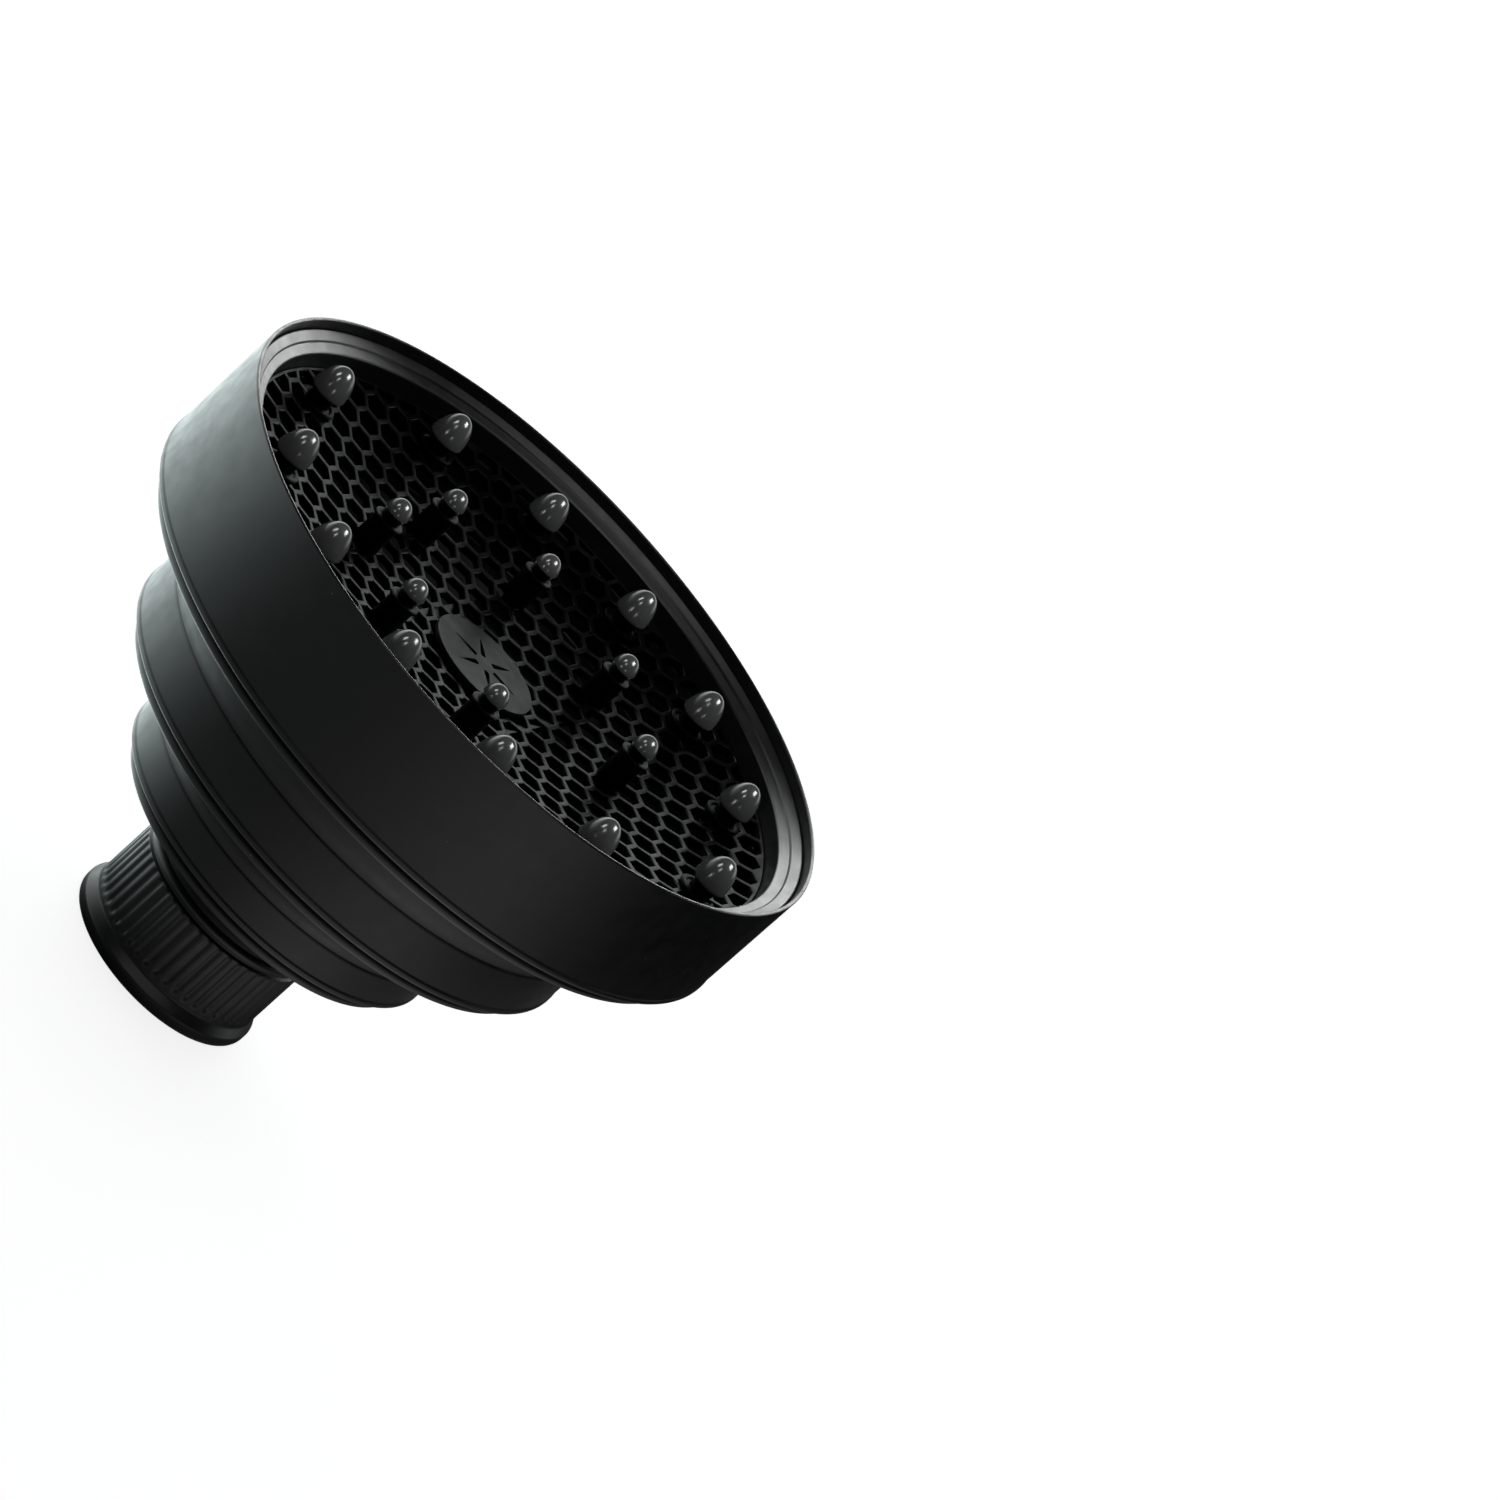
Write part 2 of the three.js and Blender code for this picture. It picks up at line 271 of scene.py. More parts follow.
# Darker copy of the satin silicone for the bezel: painted shade, so that its inner wall stays
# black.
shaded_bezel_silicone = moulded("bezel silicone", (0.0016, 0.0017, 0.0017), (0.0024, 0.0026, 0.0025),
                         0.38, 1.50, 5200.0, grit=0.14)
grille_plastic = moulded("grille plastic", (0.0016, 0.0016, 0.0016), (0.0026, 0.0026, 0.0026),
                         0.40, 1.44, 3800.0)
disc_plastic = moulded("disc plastic", (0.019, 0.020, 0.020), (0.024, 0.025, 0.025),
                       0.45, 1.47, 6500.0)
stem_plastic = moulded("stem plastic", (0.0012, 0.0012, 0.0012), (0.0020, 0.0020, 0.0020),
                       0.42, 1.24, 3800.0)
tip_rubber = moulded("tip rubber", (0.028, 0.029, 0.029), (0.035, 0.036, 0.035),
                     0.17, 1.50, 3000.0, 0.03)


# ---------------------------------------------------------------- soft body
RING_SEGMENTS = 224
GROOVE_DEPTH = 1.3              # groove between the bead and the wall's foot
FOOT_LIP = 0.2                  # how far the foot of the wall stands out


def back_edge(radius, back):
    """Round bead, the fine groove over it and the lip at the foot of the wall."""
    return [
        (radius - BEAD_IN, back + 3.8, 0.3),
        (radius - BEAD_IN, back, 1.2),
        (radius - BEAD_OUT, back, 1.5),
        (radius - BEAD_OUT, back + 3.05, 1.45),
        (radius - BEAD_OUT - GROOVE_DEPTH, back + 3.05, 0.1),
        (radius - BEAD_OUT - GROOVE_DEPTH, back + 3.6, 0.1),
        (radius + FOOT_LIP, back + 3.6, 0.9),
        (radius + FOOT_LIP, back + 5.0, 0.4),
        (radius, back + 5.5, 0.6),
    ]


def stepped_ring(node, radius, back, top):
    """Small or middle ring, with a rounded shoulder."""
    corners = back_edge(radius, back) + [
        (radius, top, 2.2),
        (radius - WALL - 0.4, top, 0.3),
        (radius - WALL, top - 2, 1),
        (radius - WALL, back + 5.2, 0.8),
    ]
    verts, faces = turned(rounded(corners), RING_SEGMENTS)
    flatten_walls(piece(node + "_soft", verts, faces, silicone, node, [node]))


def front_ring():
    """Widest ring: a thin lip round the bezel, and a shelf inside under the grille."""
    inner = FRONT_R - WALL
    shelf = RIM_Z - 13.3
    corners = back_edge(FRONT_R, FRONT_BACK) + [
        (FRONT_R, RIM_Z, 0.42),
        (FRONT_R - 0.9, RIM_Z, 0.42),
        (FRONT_R - 0.95, RIM_Z - 4.2, 0.1),
        (inner, RIM_Z - 4.4, 0.1),
        (inner, shelf, 0.2),
        (inner - 2.2, shelf, 0.2),
        (inner - 2.2, shelf - 1, 0.2),
        (inner, shelf - 2.6, 0.5),
        (inner, FRONT_BACK + 5.2, 0.8),
    ]
    verts, faces = turned(rounded(corners), RING_SEGMENTS)
    flatten_walls(piece("front_ring_soft", verts, faces, silicone, "front_ring",
                        ["front_ring"]))


RIB_COUNT, RIB_FROM, RIB_TO = 50, 6.8, 21.6
RIB_WIDTH = 0.2                 # flat share of a rib's crest
RIB_CREST, RIB_DEPTH, BORE_R = 22.7, 0.5, 20.5


def ribbed(radius, height, angle):
    """Sinks the collar's wall between its ribs, fading at both ends of the ribbed band."""
    if radius < RIB_CREST - 0.01 or not RIB_FROM <= height <= RIB_TO:
        return radius
    wave = abs((angle * RIB_COUNT / math.tau) % 1 - 0.5) * 2
    groove = 0.5 - 0.5 * math.cos(math.pi * min(1, max(0, (wave - RIB_WIDTH) / (1 - RIB_WIDTH))))
    fade = min(1, (height - RIB_FROM) / 1.6, (RIB_TO - height) / 0.9)
    return radius - RIB_DEPTH * groove * math.sin(fade * math.pi / 2)


def collar():
    """Mouth bead, a smooth flare, the ribbed band and a plain edge at the top."""
    band = [(RIB_CREST, RIB_FROM + share * (RIB_TO - RIB_FROM), 0)
            for share in (0, 0.025, 0.05, 0.08, 0.11, 0.5, 0.94, 0.96, 0.98, 1)]
    corners = [
        (BORE_R, 0, 0.5),
        (MOUTH_R, 0, 1.6),
        (MOUTH_R, 3.1, 1.45),
        (RIB_CREST - 0.05, 5.5, 1.3),
        *band,
        (RIB_CREST - 0.6, RIB_TO + 0.5, 0.3),
        (RIB_CREST - 0.5, RIB_TO + 1.0, 0.2),
        (RIB_CREST, RIB_TO + 1.2, 0.3),
        (RIB_CREST, COLLAR_TOP, 1.1),
        (BORE_R, COLLAR_TOP, 0.4),
    ]
    verts, faces = turned(rounded(corners), RIB_COUNT * 12, radius_at=ribbed)
    flatten_walls(piece("collar_soft", verts, faces, silicone, "collar", ["collar"]))


WEB_THICK = 1.4


def folding_web(node, lower_body, upper_body, start, upper_radius, upper_back):
    """Thin S-curved skin from one ring's shoulder up to the next ring's bead."""
    bottom = Vector(start)
    top = Vector((upper_radius - BEAD_IN + 0.7, upper_back + 2.4))
    bend_low = bottom + Vector((0.3, 4.8))
    bend_high = top - Vector((3.0, 3.6))
    steps = 24
    outer = []
    for step in range(steps + 1):
        t = step / steps
        outer.append((1 - t) ** 3 * bottom + 3 * (1 - t) ** 2 * t * bend_low
                     + 3 * (1 - t) * t * t * bend_high + t ** 3 * top)
    inner = [point + Vector((-0.75, 0.65)) * WEB_THICK for point in reversed(outer)]
    verts, faces = turned([*outer, *inner], RING_SEGMENTS)
    span = (lower_body, upper_body, (0, 0, bottom.y * MM), (0, 0, top.y * MM))
    piece(node + "_soft", verts, faces, web_silicone, span, [node], sharp=50)


collar()
stepped_ring("small_ring", SMALL_R, SMALL_BACK, SMALL_TOP)
stepped_ring("middle_ring", MIDDLE_R, MIDDLE_BACK, MIDDLE_TOP)
front_ring()
folding_web("lower_web", "collar", "small_ring", (RIB_CREST - 1.0, COLLAR_TOP - 0.6),
            SMALL_R, SMALL_BACK)
folding_web("middle_web", "small_ring", "middle_ring", (SMALL_R - 0.25, SMALL_TOP - 1.7),
            MIDDLE_R, MIDDLE_BACK)
folding_web("upper_web", "middle_ring", "front_ring", (MIDDLE_R - 0.25, MIDDLE_TOP - 1.7),
            FRONT_R, FRONT_BACK)


# ---------------------------------------------------------------- grille
def bezel():
    """Ring that steps down in two soft slopes to the grille."""
    inner = GRILLE_R + 0.3
    bottom = node_box("grille_bezel")[0].z
    corners = [
        (inner - 1, bottom, 0.2),
        (BEZEL_R, bottom, 0.3),
        (BEZEL_R, RIM_Z - 4.3, 0.1),
        (FRONT_R - 1.15, RIM_Z - 4.1, 0.1),
        (FRONT_R - 1.15, RIM_Z - 2.3, 0.35),
        (FRONT_R - 3.5, RIM_Z - 3.45, 0.5),
        (FRONT_R - 3.75, RIM_Z - 4.0, 0.12),
        (inner, RIM_Z - 4.8, 0.7),
        (inner, bottom + 1.5, 0.1),
        (inner - 1, bottom + 1.5, 0.1),
    ]
    verts, faces = turned(rounded(corners), RING_SEGMENTS)
    # The bezel uses the darker silicone copy, painted shade.
    flatten_walls(piece("bezel_ring", verts, faces, shaded_bezel_silicone, "front_ring",
                        ["grille_bezel"]))


CELL_PITCH = 6.7
CELL_TURN = math.radians(-16.7)
CELL_STRETCH = 1.1              # cells are longer along Y
WEB_HALF = 0.62                 # half a web, at its straight part
GRILLE_THICK = 1.8
EDGE_BAND = 0.5                 # solid band at the grille's edge
EDGE_SEGMENTS = 180
SMALLEST_CELL = 3.0             # area under which a cell at the edge stays closed
# Levels down a cell's side: (web's half width, depth below the top face).
CELL_LEVELS = ((0.38, 0.0), (0.49, 0.03), (0.57, 0.11), (0.61, 0.22), (WEB_HALF, 0.35),
               (WEB_HALF, GRILLE_THICK - 0.2), (WEB_HALF - 0.2, GRILLE_THICK))
STRAIGHT_LEVEL = 4


def cell_centres():
    """Middles of the honeycomb's cells, out past the grille's edge."""
    reach = math.ceil(GRILLE_R / CELL_PITCH) + 4
    turn = Matrix.Rotation(CELL_TURN, 2)
    for a in range(-reach, reach + 1):
        for b in range(-reach, reach + 1):
            centre = turn @ Vector((a + b / 2, b * math.sin(math.pi / 3))) * CELL_PITCH
            if stretched(centre).length < GRILLE_R + CELL_PITCH / 2:
                yield centre


def stretched(point):
    """A point of the even honeycomb, moved to its place on the longer cells."""
    return Vector((point.x, point.y * CELL_STRETCH))


def hexagon(centre, inset):
    """One cell, its sides moved in by inset."""
    size = (CELL_PITCH / 2 - inset) / math.cos(math.pi / 6)
    return [stretched(centre + size * Vector((math.cos(angle), math.sin(angle))))
            for angle in (CELL_TURN + math.pi / 6 + math.pi / 3 * corner for corner in range(6))]


def clipped(outline, radius):
    """Part of a convex outline that lies inside a circle about the axis."""
    if all(point.length <= radius for point in outline):
        return outline
    kept = []
    for index, point in enumerate(outline):
        after = outline[(index + 1) % len(outline)]
        if point.length <= radius:
            kept.append(point)
        if (point.length <= radius) != (after.length <= radius):
            low, high = 0.0, 1.0
            for _ in range(20):
                middle = (low + high) / 2
                same = (point.lerp(after, middle).length <= radius) == (point.length <= radius)
                low, high = (middle, high) if same else (low, middle)
            kept.append(point.lerp(after, low))
    return kept


def area(outline):
    """Area inside an outline."""
    return abs(sum(a.cross(b) for a, b in zip(outline, outline[1:] + outline[:1]))) / 2


def point_in(point, outline):
    """Whether a point lies inside an outline."""
    inside = False
    for a, b in zip(outline, outline[1:] + outline[:1]):
        if (a.y > point.y) != (b.y > point.y):
            if point.x < a.x + (point.y - a.y) / (b.y - a.y) * (b.x - a.x):
                inside = not inside
    return inside


def plate_with_holes(edge, holes):
    """Triangles between an edge loop and the holes in it."""
    points, loops = [], []
    for loop in [edge, *holes]:
        start = len(points)
        points += loop
        loops.append([(start + i, start + (i + 1) % len(loop)) for i in range(len(loop))])
    lines = [line for loop in loops for line in loop]
    found, _, triangles, kept, *_ = delaunay_2d_cdt(points, lines, [], 0, 1e-6)
    index = {names[0]: at for at, names in enumerate(kept) if names}
    return found, triangles, index


def honeycomb():
    """The dished grille: soft-edged webs about straight-sided cells."""
    holes, near = [], {}
    for centre in cell_centres():
        rings = [clipped(hexagon(centre, half), GRILLE_R - EDGE_BAND) for half, _ in CELL_LEVELS]
        straight = rings[STRAIGHT_LEVEL]
        if len({len(ring) for ring in rings}) > 1:
            rings = [straight] * len(CELL_LEVELS)
        if len(straight) > 2 and area(straight) > SMALLEST_CELL:
            holes.append(rings)
            near.setdefault(grid_square(stretched(centre)), []).append(rings)
    edge = [GRILLE_R * Vector((math.cos(angle), math.sin(angle)))
            for angle in (math.tau * i / EDGE_SEGMENTS for i in range(EDGE_SEGMENTS))]
    verts, faces, caps = [], [], []
    for level, flip in ((0, False), (len(CELL_LEVELS) - 1, True)):
        depth = CELL_LEVELS[level][1]
        loops = [rings[level] for rings in holes]
        found, triangles, index = plate_with_holes(edge, loops)
        start = len(verts)
        verts += [(p.x, p.y, dish(p.x, p.y) - depth) for p in found]
        for triangle in triangles:
            middle = sum((found[i] for i in triangle), Vector((0, 0))) / len(triangle)
            if not in_cell(middle, level, near):
                faces.append([start + i for i in triangle])
        caps.append((start, index))
    wall_rings(verts, faces, edge, holes, caps)
    piece("honeycomb", verts, faces, grille_plastic, "front_ring", ["honeycomb_grille"],
          sharp=48)


def grid_square(point):
    """Square of a coarse grid that holds a point, so that only nearby cells are searched."""
    return round(point.x / CELL_PITCH), round(point.y / CELL_PITCH)


def in_cell(point, level, near):
    """Whether a point lies in an open cell, at one of the levels."""
    column, row = grid_square(point)
    return any(point_in(point, rings[level]) for i in (-1, 0, 1) for j in (-1, 0, 1)
               for rings in near.get((column + i, row + j), []))


def wall_rings(verts, faces, edge, holes, caps):
    """Sides of the cells and of the grille's edge, between the two faces."""
    first, last = caps

    def cap_vertex(cap, source):
        return cap[0] + cap[1][source]

    count = len(edge)
    for i in range(count):
        after = (i + 1) % count
        faces.append([cap_vertex(first, i), cap_vertex(first, after),
                      cap_vertex(last, after), cap_vertex(last, i)])
    source = count
    for rings in holes:
        size = len(rings[0])
        rows = [[cap_vertex(first, source + i) for i in range(size)]]
        for ring, (_, depth) in list(zip(rings, CELL_LEVELS))[1:-1]:
            rows.append(list(range(len(verts), len(verts) + size)))
            verts += [(p.x, p.y, dish(p.x, p.y) - depth) for p in ring]
        rows.append([cap_vertex(last, source + i) for i in range(size)])
        for upper, lower in zip(rows, rows[1:]):
            for i in range(size):
                after = (i + 1) % size
                faces.append([upper[i], upper[after], lower[after], lower[i]])
        source += size


bezel()
honeycomb()


# ---------------------------------------------------------------- middle of the grille
def flat_shape(loops, under, over):
    """Plate between two heights, from one outline and the holes in it."""
    edge, *holes = loops
    found, triangles, index = plate_with_holes(edge, holes)
    inside = [t for t in triangles if not any(
        point_in(sum((found[i] for i in t), Vector((0, 0))) / 3, hole) for hole in holes)]
    verts = [(p.x, p.y, over) for p in found] + [(p.x, p.y, under) for p in found]
    size = len(found)
    faces = [list(t) for t in inside] + [[i + size for i in reversed(t)] for t in inside]
    start = 0
    for loop in loops:
        for i in range(len(loop)):
            a, b = index[start + i], index[start + (i + 1) % len(loop)]
            faces.append([a, b, b + size, a + size])
        start += len(loop)
    return verts, faces


def centre_disc():
    """Disc with six slots that narrow outwards, with softened edges."""
    rim = [DISC_R * Vector((math.cos(a), math.sin(a)))
           for a in (math.tau * i / 96 for i in range(96))]
    half = ((2.6, 0.5), (3.2, 0.72), (5.5, 0.52), (7.5, 0.25), (8.9, 0.08))
    slot = [Vector((along, -across)) for along, across in half]
    slot += [Vector((along, across)) for along, across in reversed(half)]
    slots = [[Matrix.Rotation(math.pi / 3 * turn, 2) @ p for p in slot] for turn in range(6)]
    verts, faces = flat_shape([rim, *slots], DISC_UNDER, DISC_TOP)
    made = piece("slotted_disc", verts, faces, disc_plastic, "front_ring", ["centre_disc"])
    soften = made.modifiers.new("softened edges", "BEVEL")
    soften.width, soften.segments, soften.limit_method = 0.28 * MM, 3, "ANGLE"
    soften.angle_limit = math.radians(50)
    flatten_walls(made)


FLOOR_DEPTH = 1.3               # baffle's top below the tops of the webs
BAFFLE_THICK = 2.0
BAFFLE_HALF, BAFFLE_REACH = 16.5, 40.0
ROW_AXIS = math.radians(-12.6)  # line through the two end fingers


def deflector():
    """Baffle bar that closes the middle cells from below, curved with the dish."""
    straight = BAFFLE_REACH - BAFFLE_HALF
    ends = []
    for side in (0, math.pi):
        for step in range(25):
            angle = side - math.pi / 2 + math.pi * step / 24
            middle = straight * math.cos(side)
            ends.append(Vector((middle + BAFFLE_HALF * math.cos(angle),
                                BAFFLE_HALF * math.sin(angle))))
    turn = Matrix.Rotation(ROW_AXIS + math.pi / 2, 2)
    outline = [turn @ point for point in ends]
    grid = [turn @ Vector((x, y)) for x in np.arange(-38, 39, 4.0) for y in np.arange(-14, 15, 4.0)
            if abs(x) < straight or Vector((abs(x) - straight, y)).length < BAFFLE_HALF - 1]
    points = outline + grid
    lines = [(i, (i + 1) % len(outline)) for i in range(len(outline))]
    found, _, triangles, *_ = delaunay_2d_cdt(points, lines, [], 1, 1e-6)
    verts = [(p.x, p.y, dish(p.x, p.y) - FLOOR_DEPTH) for p in found]
    verts += [(x, y, z - BAFFLE_THICK) for x, y, z in verts]
    size = len(found)
    faces = [list(t) for t in triangles] + [[i + size for i in reversed(t)] for t in triangles]
    for a, b in lines:
        faces.append([a, b, b + size, a + size])
    piece("baffle_bar", verts, faces, grille_plastic, "front_ring", ["deflector"])


centre_disc()
deflector()


# ---------------------------------------------------------------- fingers
FINGER_SEGMENTS = 40
PEG_R, FOOT_R = 2.0, 3.1        # peg through the grille, and the foot under it


def place_of(node):
    """Middle of a finger in plan, its lowest and its highest point."""
    low, high = node_box(node)
    return ((low.x + high.x) / 2, (low.y + high.y) / 2), low.z, high.z


def stem(node, tip_from, saucer_radius, saucer_top):
    """Foot, peg, column up to a saucer, waisted neck and the spigot inside the tip."""
    centre, foot, _ = place_of(node)
    base = dish(*centre)
    neck = saucer_radius * 0.58
    corners = [
        (0, foot, 0),
        (FOOT_R, foot, 0.2),
        (FOOT_R, foot + 0.6, 0.2),
        (PEG_R, foot + 0.6, 0.1),
        (PEG_R, base - 0.3, 0.05),
        (saucer_radius - 0.4, base - 0.3, 0.05),
        (saucer_radius - 0.5, base + saucer_top - 1.2, 0.3),
        (saucer_radius, base + saucer_top - 0.8, 0.25),
        (saucer_radius, base + saucer_top, 0.3),
        (saucer_radius - 0.9, base + saucer_top, 0.2),
        (saucer_radius - 1.2, base + saucer_top - 0.4, 0.15),
        (neck, base + saucer_top - 0.3, 0.3),
        (neck, tip_from - 1.1, 0.3),
        (neck + 0.45, tip_from - 0.8, 0.15),
        (neck + 0.45, tip_from - 0.4, 0.15),
        (neck - 0.4, tip_from - 0.1, 0.1),
        (neck - 0.4, tip_from + 1.2, 0.2),
        (0, tip_from + 1.2, 0),
    ]
    verts, faces = turned(rounded(corners, 4), FINGER_SEGMENTS, centre, closed=False)
    piece(node + "_stem", verts, faces, stem_plastic, "front_ring", [node])


def tip(node, radius, power):
    """Soft bullet-shaped cap with a rolled lower edge."""
    centre, bottom, top = place_of(node)
    height = top - bottom
    outline = [Vector((0, bottom + 1.4)), Vector((radius - 1.3, bottom + 1.4)),
               Vector((radius - 1.2, bottom + 0.15)), Vector((radius - 0.8, bottom)),
               Vector((radius - 0.35, bottom + 0.04)), Vector((radius - 0.08, bottom + 0.25))]
    steps = 26
    for step in range(steps):
        share = 0.07 + 0.93 * math.sin(step / steps * math.pi / 2)
        outline.append(Vector((radius * (1 - share ** power) ** 0.48, bottom + height * share)))
    outline.append(Vector((0, top)))
    verts, faces = turned(outline, FINGER_SEGMENTS, centre, closed=False)
    piece(node + "_cap", verts, faces, tip_rubber, "front_ring", [node], sharp=70)
    return bottom


def finger_row(row, count, radius, power, saucer_radius, saucer_below_tip):
    """All stems and caps of a row."""
    for number in range(1, count + 1):
        name = f"{number:02d}"
        bottom = tip(f"{row}_tip_{name}", radius, power)
        centre, _, top = place_of(f"{row}_tip_{name}")
        saucer_top = top - saucer_below_tip - dish(*centre)
        stem(f"{row}_finger_{name}", bottom, saucer_radius, saucer_top)


finger_row("outer", 12, 4.2, 1.9, 4.7, 9.9)
finger_row("inner", 7, 2.95, 2.0, 3.7, 5.6)


# ---------------------------------------------------------------- camera
def photo_camera():
    """Long lens a little above the rim plane, rolled so that the rim leans across the picture."""
    distance = 17.5 * FRONT_R * MM
    elevation, roll = math.radians(20.397), math.radians(47.654)
    pan, tilt = 0.03586, 0.00896        # radians that the lens points away from the rim's middle
    rim = Vector((0, 0, RIM_Z * MM))
    away = Vector((0, math.cos(elevation), -math.sin(elevation)))
    right = Vector((1, 0, 0))
    up = right.cross(away)
    forward = (math.cos(tilt) * (math.sin(pan) * right + math.cos(pan) * away)
               + math.sin(tilt) * up)
    level = math.cos(pan) * right - math.sin(pan) * away
    upright = level.cross(forward)
    side = math.cos(roll) * level + math.sin(roll) * upright
    top = math.cos(roll) * upright - math.sin(roll) * level
    camera = bpy.data.objects.new("camera", bpy.data.cameras.new("camera"))
    camera.matrix_world = Matrix((side, top, -forward)).transposed().to_4x4()
    camera.location = rim - away * distance
    camera.data.sensor_width = 36
    camera.data.lens = 161.9
    camera.data.clip_start, camera.data.clip_end = 0.05, 60
    bpy.context.scene.collection.objects.link(camera)
    bpy.context.scene.camera = camera


# ---------------------------------------------------------------- stage and light
# Brightness around the object by compass angle: degrees anticlockwise from +X seen from
# above, so -90 is the front, 180 the left and 90 the back. The floor close by, which only
# the lower rings reflect, is brighter on the right.
ROUND_ABOUT = ((-180, 2.2), (-160, 0.80), (-140, 0.23), (-100, 0.24), (-80, 0.42), (-45, 0.80),
               (-26, 0.32), (-10, 0.008), (20, 0.003), (70, 0.01), (95, 0.5), (115, 2.9),
               (145, 3.0), (165, 2.6), (180, 2.2))
CLOSE_BY = ((-180, 2.2), (-160, 0.95), (-140, 0.27), (-100, 0.28), (-80, 0.52), (-45, 0.95),
            (-26, 0.62), (-2, 0.26), (26, 0.10), (70, 0.10), (95, 0.5), (115, 2.9),
            (145, 3.0), (165, 2.6), (180, 2.2))
BRIGHTEST = 3.0


def compass(tree, direction, table):
    """Tone from a table for a direction or a place; a little cyan on the left."""
    turn = tree.nodes.new("ShaderNodeTexGradient")
    turn.gradient_type = "RADIAL"
    tree.links.new(direction, turn.inputs["Vector"])
    ramp = tree.nodes.new("ShaderNodeValToRGB")
    stops = ramp.color_ramp.elements
    for angle, value in table[1:-1]:
        stops.new(angle / 360 + 0.5)
    for stop, (angle, value) in zip(stops, table):
        tone = value / BRIGHTEST
        stop.position = angle / 360 + 0.5
        stop.color = (tone * (0.87 if abs(angle) > 105 else 1.0), tone, tone * 0.99, 1)
    tree.links.new(turn.outputs["Color"], ramp.inputs["Fac"])
    return ramp.outputs["Color"]


def product(tree, first, second):
    """Product of two sockets, or of a socket and a number."""
    made = tree.nodes.new("ShaderNodeMath")
    made.operation = "MULTIPLY"
    for socket, value in zip(made.inputs, (first, second)):
        if isinstance(value, (int, float)):
            socket.default_value = value
        else:
            tree.links.new(value, socket)
    return made.outputs["Value"]


def studio_floor():
    """Wide pale floor: white to the lens; in the object's reflections it glows with the studio's
    tones as painted light, darkened close under the object by a painted shadow.
    """
    half, sunk = 8e3, 0.05
    corners = [Vector((x, y, -sunk)) for x, y in
               ((-half, -half), (half, -half), (half, half), (-half, half))]
    mesh = bpy.data.meshes.new("floor")
    mesh.from_pydata([corner * MM for corner in corners], [], [[0, 1, 2, 3]])
    floor = bpy.data.objects.new("floor", mesh)
    bpy.context.scene.collection.objects.link(floor)
    material, tree, shader = nodes_of("pale floor")
    shader.inputs["Base Color"].default_value = (0.85, 0.85, 0.85, 1)
    shader.inputs["Roughness"].default_value = 0.6
    shader.inputs["Emission Color"].default_value = (1, 1, 1, 1)
    shader.inputs["Emission Strength"].default_value = 0.85
    glow = tree.nodes.new("ShaderNodeEmission")
    place = tree.nodes.new("ShaderNodeTexCoord")
    reach = tree.nodes.new("ShaderNodeVectorMath")
    reach.operation = "LENGTH"
    tree.links.new(place.outputs["Object"], reach.inputs[0])
    tones = tree.nodes.new("ShaderNodeMix")
    tones.data_type = "RGBA"
    tree.links.new(spread(tree, reach.outputs["Value"], 0.20, 0.235, 0.0, 1.0),
                   tones.inputs["Factor"])
    tree.links.new(compass(tree, place.outputs["Object"], CLOSE_BY), tones.inputs["A"])
    tree.links.new(compass(tree, place.outputs["Object"], ROUND_ABOUT), tones.inputs["B"])
    tree.links.new(tones.outputs["Result"], glow.inputs["Color"])
    # Painted shadow: the floor's glow dims towards the axis, standing in for the shade the object
    # throws on the floor under itself.
    under = spread(tree, reach.outputs["Value"], 0.030, 0.055, BRIGHTEST * 0.12, BRIGHTEST)
    tree.links.new(under, glow.inputs["Strength"])
    seen = tree.nodes.new("ShaderNodeLightPath")
    mix = tree.nodes.new("ShaderNodeMixShader")
    tree.links.new(seen.outputs["Is Camera Ray"], mix.inputs["Fac"])
    tree.links.new(glow.outputs["Emission"], mix.inputs[1])
    tree.links.new(shader.outputs["BSDF"], mix.inputs[2])
    tree.links.new(mix.outputs["Shader"], tree.nodes["Material Output"].inputs["Surface"])
    mesh.materials.append(material)


SKY_POWER = 0.5                 # low sky against the floor on the same side
BACK_BAND = 1.4                 # softbox-like band up to 30 degrees high, behind the object


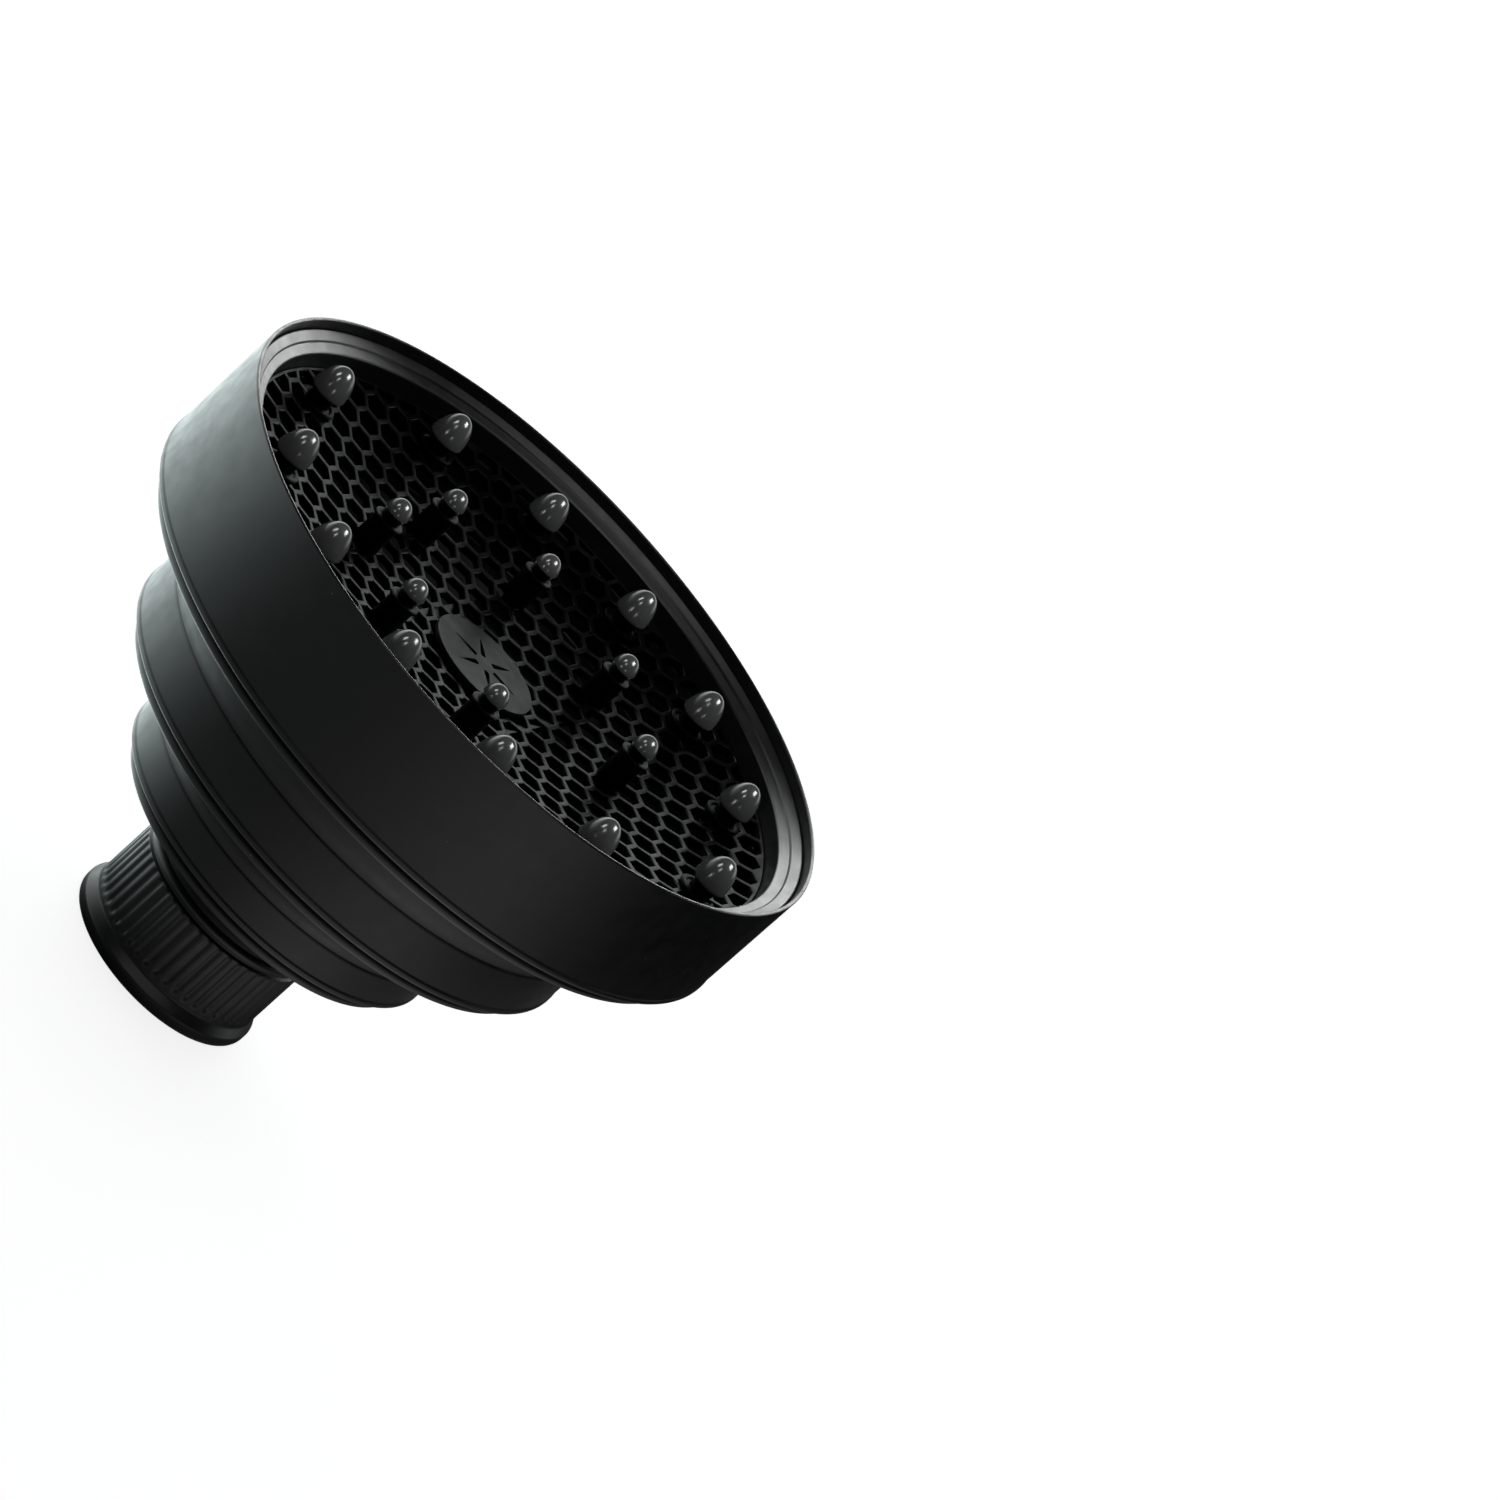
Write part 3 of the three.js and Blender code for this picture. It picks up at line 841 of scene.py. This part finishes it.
def studio_world():
    """White to the lens; otherwise bright low down behind and on the left, dark overhead."""
    world = bpy.data.worlds.new("studio")
    bpy.context.scene.world = world
    world.use_nodes = True
    tree = world.node_tree
    sky = tree.nodes["Background"]
    sky.inputs["Color"].default_value = (0.95, 1.0, 0.99, 1)
    place = tree.nodes.new("ShaderNodeTexCoord")
    split = tree.nodes.new("ShaderNodeSeparateXYZ")
    tree.links.new(place.outputs["Generated"], split.inputs["Vector"])
    low_sky = spread(tree, split.outputs["Z"], 0.22, 0.48, BRIGHTEST * SKY_POWER, 0.03)
    front = spread(tree, split.outputs["Y"], -0.7, 0.1, 0.04, 1.0)
    sides = compass(tree, place.outputs["Generated"], ROUND_ABOUT)
    around = product(tree, product(tree, sides, front), low_sky)
    rising = spread(tree, split.outputs["Z"], 0.05, 0.14, 0.0, 1.0)
    fading = spread(tree, split.outputs["Z"], 0.38, 0.50, 1.0, 0.0)
    behind = spread(tree, split.outputs["Y"], 0.15, 0.55, 0.0, BACK_BAND)
    total = tree.nodes.new("ShaderNodeMath")
    tree.links.new(around, total.inputs[0])
    tree.links.new(product(tree, product(tree, rising, fading), behind), total.inputs[1])
    tree.links.new(total.outputs["Value"], sky.inputs["Strength"])
    white = tree.nodes.new("ShaderNodeBackground")
    white.inputs["Color"].default_value = (1, 1, 1, 1)
    seen = tree.nodes.new("ShaderNodeLightPath")
    mix = tree.nodes.new("ShaderNodeMixShader")
    tree.links.new(seen.outputs["Is Camera Ray"], mix.inputs["Fac"])
    tree.links.new(sky.outputs["Background"], mix.inputs[1])
    tree.links.new(white.outputs["Background"], mix.inputs[2])
    tree.links.new(mix.outputs["Shader"], tree.nodes["World Output"].inputs["Surface"])


def softbox(name, toward, size, power, receivers=None, distance=1.1):
    """Area light on the far end of a direction, facing the rim, for all pieces or for some."""
    light = bpy.data.lights.new(name, "AREA")
    light.shape = "RECTANGLE"
    light.size, light.size_y = size
    light.energy = power
    made = bpy.data.objects.new(name, light)
    rim = Vector((0, 0, RIM_Z * MM))
    direction = Vector(toward).normalized()
    made.location = rim + direction * distance
    made.rotation_euler = direction.to_track_quat("Z", "Y").to_euler()
    bpy.context.scene.collection.objects.link(made)
    if receivers:
        made.light_linking.receiver_collection = receivers


def gathered(name, materials):
    """Collection of the pieces made of some materials."""
    group = bpy.data.collections.new(name)
    for item in bpy.context.scene.objects:
        if item.type == "MESH" and any(slot.material in materials for slot in item.material_slots):
            group.objects.link(item)
    return group


photo_camera()
studio_floor()
studio_world()
glossy_tips = gathered("glossy tips", [tip_rubber])
soft_parts = gathered("soft parts", [silicone, web_silicone, shaded_bezel_silicone])
softbox("tips overhead", (0.44, 0.07, 0.90), (0.62, 0.40), 17.0, glossy_tips)
softbox("tips left", (-0.60, -0.40, 0.69), (0.22, 0.34), 3.4, glossy_tips)
softbox("tips front high", (-0.20, -0.75, 0.60), (0.20, 0.20), 1.2, glossy_tips)
softbox("tips front left", (-0.42, -0.90, 0.10), (0.20, 0.20), 1.0, glossy_tips)
softbox("tips front right", (0.42, -0.90, 0.04), (0.20, 0.20), 0.9, glossy_tips)
softbox("front strip", (0.05, -0.66, 0.75), (1.10, 0.34), 4.0, soft_parts)
softbox("back strip", (0.0, 0.93, 0.36), (1.5, 0.16), 8.0, soft_parts)
softbox("rim overhead", (0.10, 0.25, 0.96), (0.80, 0.45), 1.8,
        gathered("rim", [shaded_bezel_silicone]))
softbox("fill", (0.30, -0.10, 0.95), (0.9, 0.9), 0.8)

view_settings = bpy.context.scene.view_settings
view_settings.view_transform = "Standard"
view_settings.look = "None"
